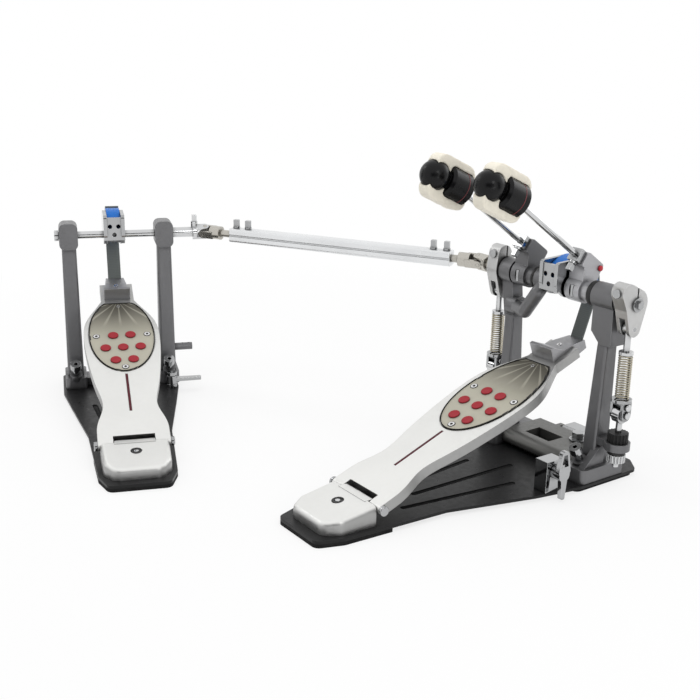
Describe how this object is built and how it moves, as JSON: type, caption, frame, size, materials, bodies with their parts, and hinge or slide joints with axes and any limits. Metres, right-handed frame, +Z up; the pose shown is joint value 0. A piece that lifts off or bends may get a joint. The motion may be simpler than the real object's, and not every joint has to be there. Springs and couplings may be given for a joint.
{
  "type": "double bass drum pedal",
  "caption": "Double bass drum pedal: a main pedal with twin beaters, cam and belt drive, spring linkages and hoop clamp, joined by a Cardan drive shaft to a slave pedal.",
  "frame": {"origin": "on the floor under the middle of the main pedal's axle", "axes": "+X along the main axle to the right, +Y towards the drum, +Z up"},
  "size_m": [0.6375, 0.4928, 0.3314],
  "materials": {
    "plate_black": "satin black",
    "pad_rubber": "matt",
    "cast_silver": "bright cast",
    "grip_sand": "satin sand grey",
    "stud_red": "matt red",
    "screw_steel": "satin",
    "toe_grey": "cast grey",
    "belt_grey": "matt woven",
    "chrome_parts": "polished",
    "cast_dark": "dark grey cast",
    "cast_mid": "mid grey cast",
    "cast_light": "light grey cast",
    "cam_blue": "gloss blue",
    "core_black": "gloss black",
    "felt_cream": "felt",
    "rocker_cast": "satin cast",
    "spring_steel": "steel wire",
    "knob_black": "matt black",
    "tube_alu": "satin extruded",
    "joint_steel": "satin steel"
  },
  "bodies": {
    "base": {"main_base_plate": "plate_black", "main_floor_pads": "pad_rubber", "main_heel_plate": "cast_silver", "main_bolts": "chrome_parts", "left_post": "cast_dark", "right_post": "cast_dark", "crossbar": "cast_mid", "tension_rods": "chrome_parts", "slave_base_plate": "plate_black", "slave_floor_pads": "pad_rubber", "slave_heel_plate": "cast_silver", "slave_bolts": "chrome_parts", "slave_posts": "cast_dark"},
    "right_beater": {"right_axle": "joint_steel", "main_cam_carrier": "chrome_parts", "main_cam_face": "cam_blue", "right_holder": "cast_light", "right_fittings": "chrome_parts", "right_rocker": "rocker_cast"},
    "left_beater": {"left_axle": "joint_steel", "left_holder": "cast_dark", "left_fittings": "chrome_parts", "left_rocker": "rocker_cast"},
    "slave_cam": {"slave_axle": "joint_steel", "slave_cam_carrier": "chrome_parts", "slave_cam_face": "cam_blue"},
    "drive_shaft": {"shaft_tube": "tube_alu", "shaft_rods": "joint_steel", "shaft_keys": "chrome_parts"},
    "main_cross": {"main_cross": "joint_steel"},
    "slave_cross": {"slave_cross": "joint_steel"},
    "clamp_jaw": {"clamp_jaw": "cast_mid"},
    "clamp_lever": {"clamp_lever": "chrome_parts"},
    "slave_wing": {"slave_wing": "chrome_parts"},
    "right_striker": {"right_rod": "chrome_parts", "right_head_core": "core_black", "right_head_felt": "felt_cream"},
    "right_stirrup": {"right_stirrup": "chrome_parts"},
    "right_link": {"right_spring_link": "chrome_parts", "right_spring": "spring_steel"},
    "right_nut": {"right_tension_nut": "knob_black"},
    "left_striker": {"left_rod": "chrome_parts", "left_head_core": "core_black", "left_head_felt": "felt_cream"},
    "left_stirrup": {"left_stirrup": "chrome_parts"},
    "left_link": {"left_spring_link": "chrome_parts", "left_spring": "spring_steel"},
    "left_nut": {"left_tension_nut": "knob_black"},
    "main_board": {"main_footboard": "cast_silver", "main_grip_plate": "grip_sand", "main_grip_studs": "stud_red", "main_board_screws": "screw_steel", "main_toe_block": "toe_grey"},
    "main_belt": {"main_belt": "belt_grey"},
    "slave_board": {"slave_footboard": "cast_silver", "slave_grip_plate": "grip_sand", "slave_grip_studs": "stud_red", "slave_board_screws": "screw_steel", "slave_toe_block": "toe_grey"},
    "slave_belt": {"slave_belt": "belt_grey"}
  },
  "joints": [
    {"name": "right_axle_turn", "type": "hinge", "parent": "base", "child": "right_beater", "pos_m": [0, 0, 0.196], "axis": [1, 0, 0], "range_deg": [-55, 5], "stiffness_Nm_per_rad": 1.9},
    {"name": "left_axle_turn", "type": "hinge", "parent": "base", "child": "left_beater", "pos_m": [0, 0, 0.196], "axis": [1, 0, 0], "range_deg": [-55, 5], "stiffness_Nm_per_rad": 1.9},
    {"name": "right_rod_height", "type": "slide", "parent": "right_beater", "child": "right_striker", "axis": [0, -0.8231, 0.5678], "range_m": [-0.015, 0.02]},
    {"name": "right_stirrup_swing", "type": "hinge", "parent": "right_beater", "child": "right_stirrup", "pos_m": [0.0905, 0, 0.171], "axis": [1, 0, 0], "range_deg": [-7.06, 67.61]},
    {"name": "right_spring_stretch", "type": "slide", "parent": "right_stirrup", "child": "right_link", "axis": [0, 0, -1], "range_m": [-0.0015, 0.0135], "deforming": ["right_spring"]},
    {"name": "right_nut_turn", "type": "hinge", "parent": "base", "child": "right_nut", "pos_m": [0.0905, 0, 0.057], "axis": [0, 0, 1], "continuous": true},
    {"name": "left_rod_height", "type": "slide", "parent": "left_beater", "child": "left_striker", "axis": [0, -0.8231, 0.5678], "range_m": [-0.015, 0.02]},
    {"name": "left_stirrup_swing", "type": "hinge", "parent": "left_beater", "child": "left_stirrup", "pos_m": [-0.091, 0, 0.171], "axis": [1, 0, 0], "range_deg": [-7.06, 67.61]},
    {"name": "left_spring_stretch", "type": "slide", "parent": "left_stirrup", "child": "left_link", "axis": [0, 0, -1], "range_m": [-0.0015, 0.0135], "deforming": ["left_spring"]},
    {"name": "left_nut_turn", "type": "hinge", "parent": "base", "child": "left_nut", "pos_m": [-0.091, 0, 0.057], "axis": [0, 0, 1], "continuous": true},
    {"name": "main_board_tread", "type": "hinge", "parent": "base", "child": "main_board", "pos_m": [0, -0.2568, 0.0223], "axis": [1, 0, 0], "range_deg": [-10.29, 1.85]},
    {"name": "main_belt_swing", "type": "hinge", "parent": "main_board", "child": "main_belt", "pos_m": [0, 0.02583, 0.12511], "axis": [1, 0, 0], "range_deg": [-3.6, 29.55], "deforming": ["main_belt"]},
    {"name": "slave_board_tread", "type": "hinge", "parent": "base", "child": "slave_board", "pos_m": [-0.23354, -0.37729, 0.0223], "axis": [0.3551, 0.9348, 0], "range_deg": [-11.09, 1.92]},
    {"name": "slave_belt_swing", "type": "hinge", "parent": "slave_board", "child": "slave_belt", "pos_m": [-0.49775, -0.27693, 0.12511], "axis": [0.3551, 0.9348, 0], "range_deg": [-3.78, 31.58], "deforming": ["slave_belt"]},
    {"name": "slave_axle_turn", "type": "hinge", "parent": "base", "child": "slave_cam", "pos_m": [-0.4736, -0.2861, 0.196], "axis": [0.3551, 0.9348, 0], "range_deg": [-60.71, 6.43]},
    {"name": "drive_shaft_turn", "type": "hinge", "parent": "base", "child": "drive_shaft", "pos_m": [-0.43411, -0.18215, 0.196], "axis": [0.8604, 0.5096, 0], "range_deg": [-49.15, 5.38]},
    {"name": "main_cross_swing", "type": "hinge", "parent": "drive_shaft", "child": "main_cross", "pos_m": [-0.1266, 0, 0.196], "axis": [0.473, -0.7985, -0.3724], "range_deg": [-28.31, 3.48]},
    {"name": "slave_cross_swing", "type": "hinge", "parent": "drive_shaft", "child": "slave_cross", "pos_m": [-0.43411, -0.18215, 0.196], "axis": [0.473, -0.7985, -0.3724], "range_deg": [-4.3, 37.28]},
    {"name": "clamp_lever_turn", "type": "hinge", "parent": "base", "child": "clamp_lever", "pos_m": [0.064, -0.068, 0.029], "axis": [1, 0, 0], "range_deg": [0, 360]},
    {"name": "clamp_jaw_grip", "type": "hinge", "parent": "base", "child": "clamp_jaw", "pos_m": [0, 0.043, 0.0185], "axis": [1, 0, 0], "range_deg": [-0.5, 11.5]},
    {"name": "slave_wing_turn", "type": "hinge", "parent": "base", "child": "slave_wing", "pos_m": [-0.41606, -0.24163, 0.017], "axis": [0, 0, 1], "range_deg": [-110, 30]}
  ],
  "couplings": [
    {"joint": "right_stirrup_swing", "follows": "right_axle_turn", "ratio": -1.2111},
    {"joint": "right_spring_stretch", "follows": "right_axle_turn", "m_per_rad": -0.013275},
    {"joint": "main_belt_swing", "follows": "right_axle_turn", "ratio": -0.519},
    {"joint": "main_board_tread", "follows": "right_axle_turn", "ratio": 0.169},
    {"joint": "left_stirrup_swing", "follows": "left_axle_turn", "ratio": -1.2111},
    {"joint": "left_spring_stretch", "follows": "left_axle_turn", "m_per_rad": -0.013275},
    {"joint": "slave_belt_swing", "follows": "left_axle_turn", "ratio": -0.556},
    {"joint": "slave_board_tread", "follows": "left_axle_turn", "ratio": 0.1835},
    {"joint": "slave_axle_turn", "follows": "left_axle_turn", "ratio": 1.0857},
    {"joint": "drive_shaft_turn", "follows": "left_axle_turn", "ratio": 0.8754},
    {"joint": "main_cross_swing", "follows": "left_axle_turn", "ratio": 0.4965},
    {"joint": "slave_cross_swing", "follows": "left_axle_turn", "ratio": -0.6596},
    {"joint": "clamp_jaw_grip", "follows": "clamp_lever_turn", "ratio": 0.03}
  ]
}
